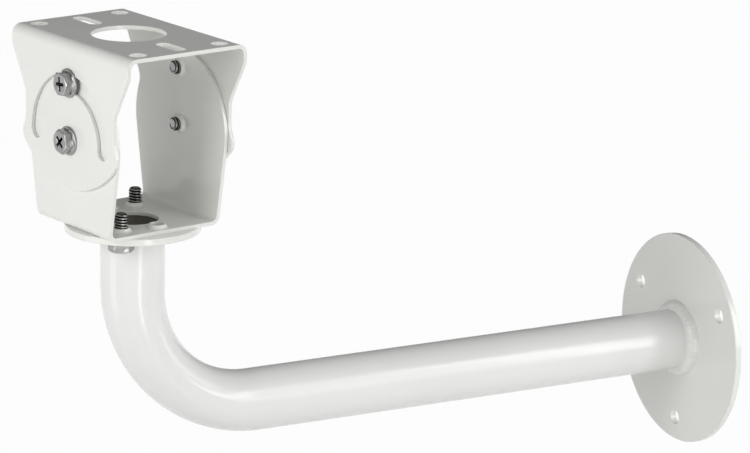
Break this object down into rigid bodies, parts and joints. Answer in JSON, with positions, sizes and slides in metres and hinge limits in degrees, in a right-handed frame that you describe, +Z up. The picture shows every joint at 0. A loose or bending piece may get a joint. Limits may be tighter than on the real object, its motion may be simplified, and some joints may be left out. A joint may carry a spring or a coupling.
{
  "type": "camera wall bracket",
  "caption": "Steel wall bracket for a security camera: round wall plate, bent tube arm, round flange, turning yoke and a tilting folded carrier with slotted camera holes.",
  "frame": {"origin": "centre of the wall plate's back face, on the arm's axis", "axes": "+Y into the wall, the arm runs towards -Y, +Z up, +X to the right of someone who faces the wall"},
  "size_m": [0.1148, 0.3667, 0.2491],
  "materials": {
    "powder_coat": "gloss",
    "zinc_steel": "satin"
  },
  "bodies": {
    "arm": {"wall_plate": "powder_coat", "wall_weld": "powder_coat", "arm_tube": "powder_coat", "head_weld": "powder_coat", "head_flange": "powder_coat"},
    "yoke": {"yoke": "powder_coat", "base_bolt_1": "zinc_steel", "base_bolt_2": "zinc_steel", "pivot_screw_1": "zinc_steel", "pivot_screw_2": "zinc_steel", "lock_screw_1": "zinc_steel", "lock_screw_2": "zinc_steel"},
    "carrier": {"tilt_bracket": "powder_coat"}
  },
  "joints": [
    {"name": "pan", "type": "hinge", "parent": "arm", "child": "yoke", "pos_m": [0, -0.324, 0.0995], "axis": [0, 0, 1], "range_deg": [-39, 21]},
    {"name": "tilt", "type": "hinge", "parent": "yoke", "child": "carrier", "pos_m": [-0.00395, -0.32463, 0.1444], "axis": [-0.1564, 0.9877, 0], "range_deg": [-90, 90]}
  ]
}
